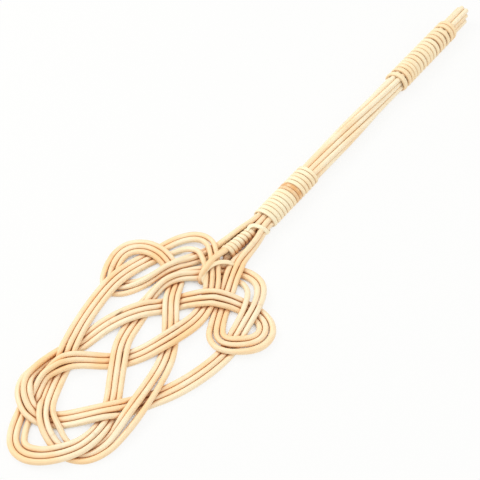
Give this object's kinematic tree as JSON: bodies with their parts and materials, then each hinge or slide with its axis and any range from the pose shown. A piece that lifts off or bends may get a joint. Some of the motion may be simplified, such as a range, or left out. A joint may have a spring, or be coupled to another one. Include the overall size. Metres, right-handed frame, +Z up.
{
  "type": "rattan carpet beater",
  "caption": "Flat hand-woven rattan beater: interlaced parallel canes form a looped oval head, gathered by bindings into a straight round handle.",
  "frame": {"origin": "middle of the outline on the plane the beater lies on", "axes": "+X along the handle towards the butt, +Z up from the plane the beater lies on"},
  "size_m": [0.6512, 0.1686, 0.0232],
  "materials": {
    "cane_left": "satin",
    "cane_middle": "satin",
    "cane_right": "satin",
    "tie_cane": "satin",
    "filler_left": "satin",
    "filler_right": "satin",
    "fork_strip": "satin",
    "neck_strip": "satin",
    "grip_strip": "satin"
  },
  "bodies": {
    "root": {"knot_cane_left": "cane_left", "knot_cane_middle": "cane_middle", "knot_cane_right": "cane_right", "tie_cane": "tie_cane", "filler_cane_left": "filler_left", "filler_cane_right": "filler_right", "fork_wrap": "fork_strip", "neck_wrap": "neck_strip", "grip_wrap": "grip_strip"}
  },
  "joints": []
}
